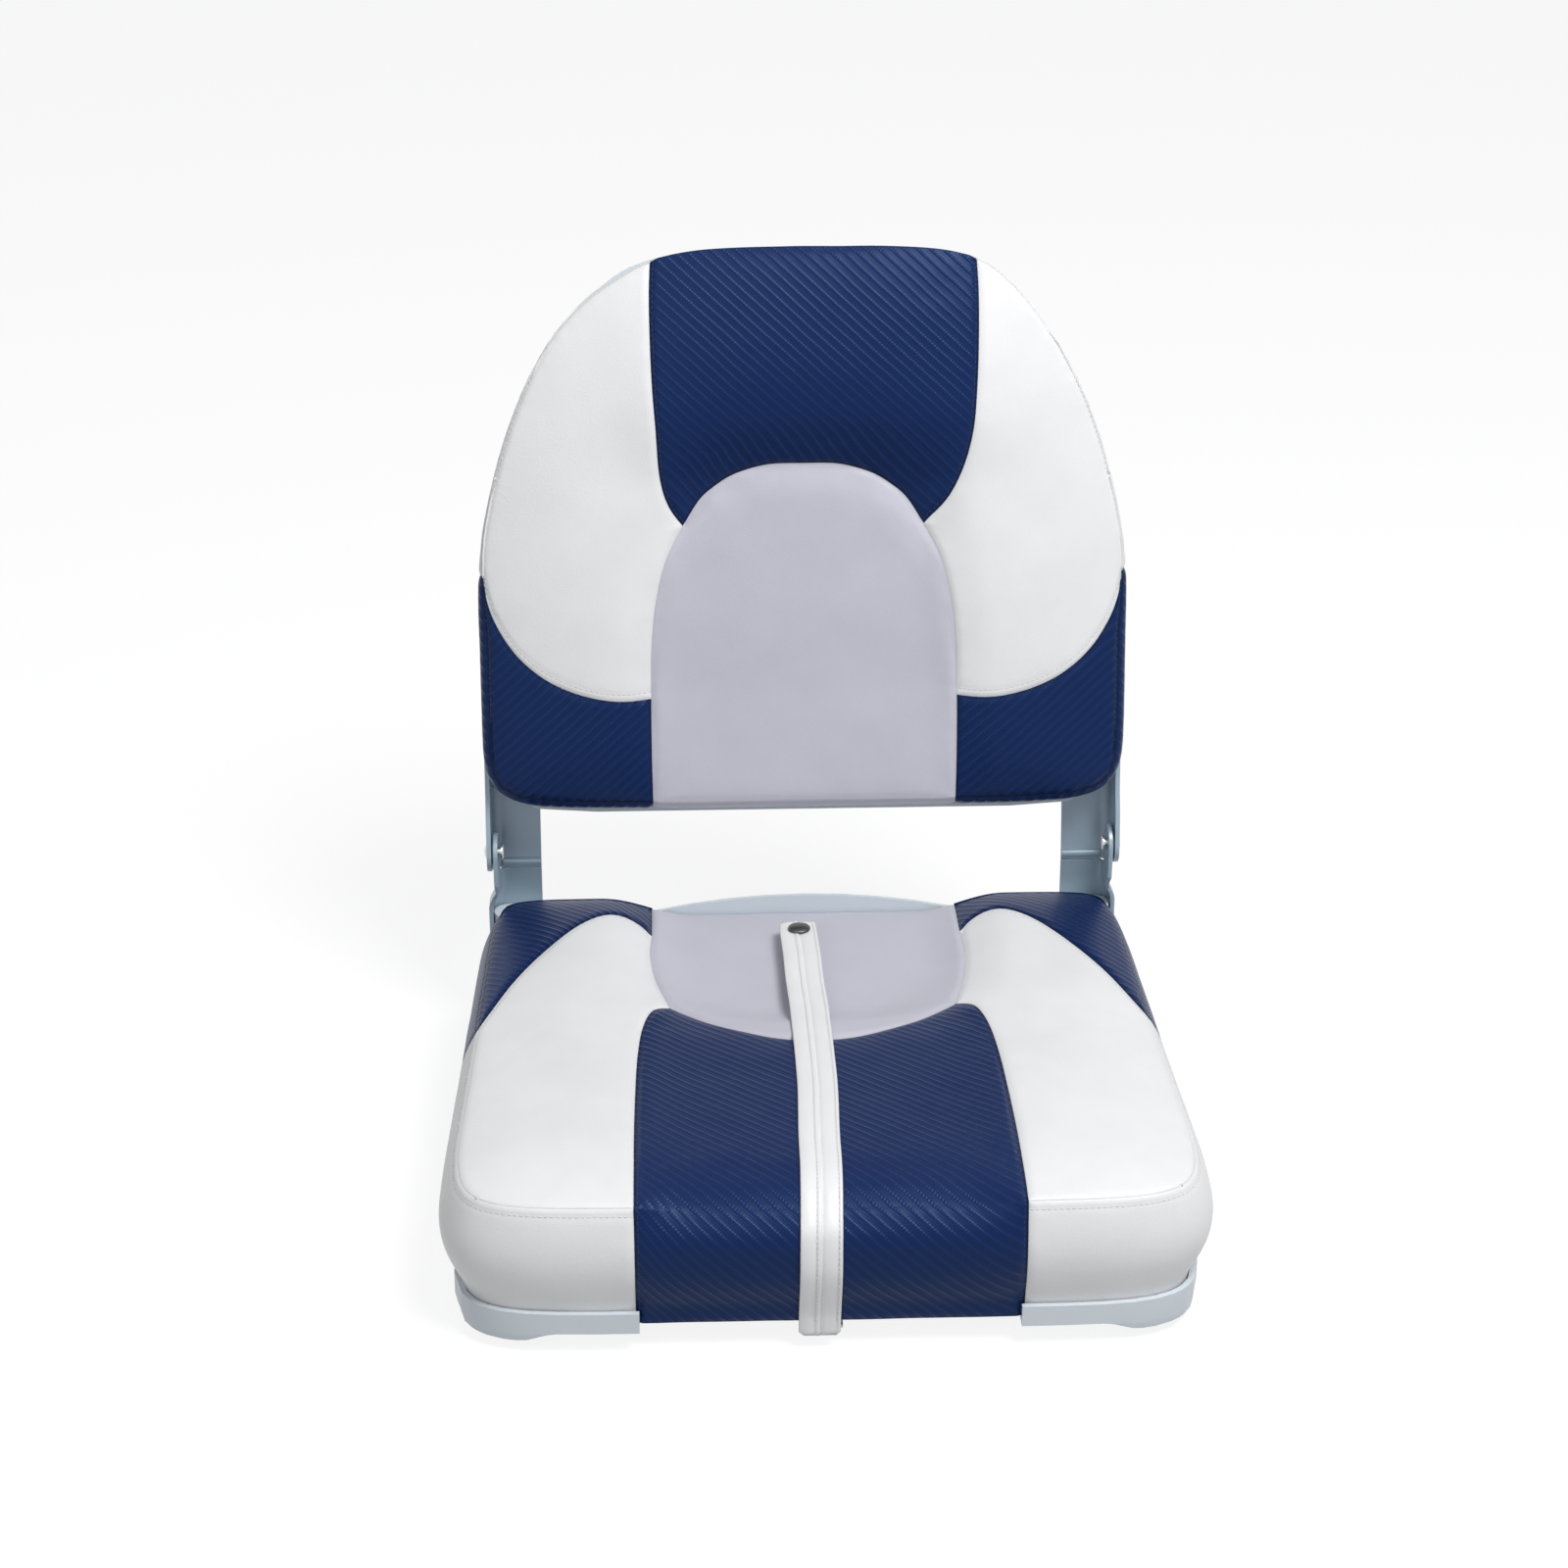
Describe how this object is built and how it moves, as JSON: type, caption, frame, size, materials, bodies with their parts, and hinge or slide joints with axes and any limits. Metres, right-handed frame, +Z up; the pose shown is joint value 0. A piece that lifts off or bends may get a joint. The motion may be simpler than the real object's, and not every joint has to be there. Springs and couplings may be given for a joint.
{
  "type": "folding boat seat",
  "caption": "Low-back folding boat seat with sewn vinyl cushions, a moulded pan and back shell, side hinges and a snap strap.",
  "frame": {"origin": "middle of the underside of the pan's pedestal pad, which the seat stands on, 8 mm below the pan's feet", "axes": "+X to the right seen from the front, +Y to the rear, +Z up"},
  "size_m": [0.465, 0.5105, 0.5471],
  "materials": {
    "white_vinyl": "satin, fine leather grain",
    "navy_vinyl": "satin, embossed diagonal twill",
    "grey_vinyl": "satin, fine leather grain",
    "shell_plastic": "satin moulded",
    "board_ply": "raw plywood",
    "foam": "open foam",
    "bracket_paint": "satin coat",
    "bright_steel": "bright",
    "nylon": "satin",
    "snap_metal": "dark nickel"
  },
  "bodies": {
    "seat": {"board_screw_1": "bright_steel", "board_screw_2": "bright_steel", "board_screw_3": "bright_steel", "board_screw_4": "bright_steel", "hinge_lower_left": "bracket_paint", "hinge_lower_right": "bracket_paint", "hinge_rivet_left": "bright_steel", "hinge_rivet_right": "bright_steel", "hinge_washer_left": "nylon", "hinge_washer_right": "nylon", "lower_screw_left_1": "bright_steel", "lower_screw_left_2": "bright_steel", "lower_screw_right_1": "bright_steel", "lower_screw_right_2": "bright_steel", "seat_band_navy_left": "navy_vinyl", "seat_band_navy_right": "navy_vinyl", "seat_band_white_left": "white_vinyl", "seat_band_white_right": "white_vinyl", "seat_board": "board_ply", "seat_foam": "foam", "seat_pan": "shell_plastic", "seat_panel_grey": "grey_vinyl", "seat_panel_navy_front": "navy_vinyl", "seat_panel_navy_left": "navy_vinyl", "seat_panel_navy_right": "navy_vinyl", "seat_panel_white_left": "white_vinyl", "seat_panel_white_right": "white_vinyl", "strap_screw": "bright_steel", "strap_tab": "white_vinyl", "tee_nut_1": "bright_steel", "tee_nut_2": "bright_steel", "tee_nut_3": "bright_steel", "tee_nut_4": "bright_steel"},
    "backrest": {"back_board": "board_ply", "back_foam": "foam", "back_gusset_navy_left": "navy_vinyl", "back_gusset_navy_right": "navy_vinyl", "back_gusset_white_left": "white_vinyl", "back_gusset_white_right": "white_vinyl", "back_panel_grey": "grey_vinyl", "back_panel_navy_head": "navy_vinyl", "back_panel_navy_left": "navy_vinyl", "back_panel_navy_right": "navy_vinyl", "back_panel_white_left": "white_vinyl", "back_panel_white_right": "white_vinyl", "back_shell": "shell_plastic", "hinge_upper_left": "bracket_paint", "hinge_upper_right": "bracket_paint", "snap_stud": "bright_steel", "upper_screw_left_1": "bright_steel", "upper_screw_left_2": "bright_steel", "upper_screw_left_3": "bright_steel", "upper_screw_right_1": "bright_steel", "upper_screw_right_2": "bright_steel", "upper_screw_right_3": "bright_steel"},
    "strap": {"snap_cap": "snap_metal", "snap_socket": "bright_steel", "strap": "white_vinyl"}
  },
  "joints": [
    {"name": "backrest_fold", "type": "hinge", "parent": "seat", "child": "backrest", "pos_m": [0, 0.195, 0.138], "axis": [1, 0, 0], "range_deg": [0, 92]},
    {"name": "strap_lift", "type": "hinge", "parent": "seat", "child": "strap", "pos_m": [0, -0.2118, 0.0108], "axis": [1, 0, 0], "range_deg": [0, 90]}
  ]
}
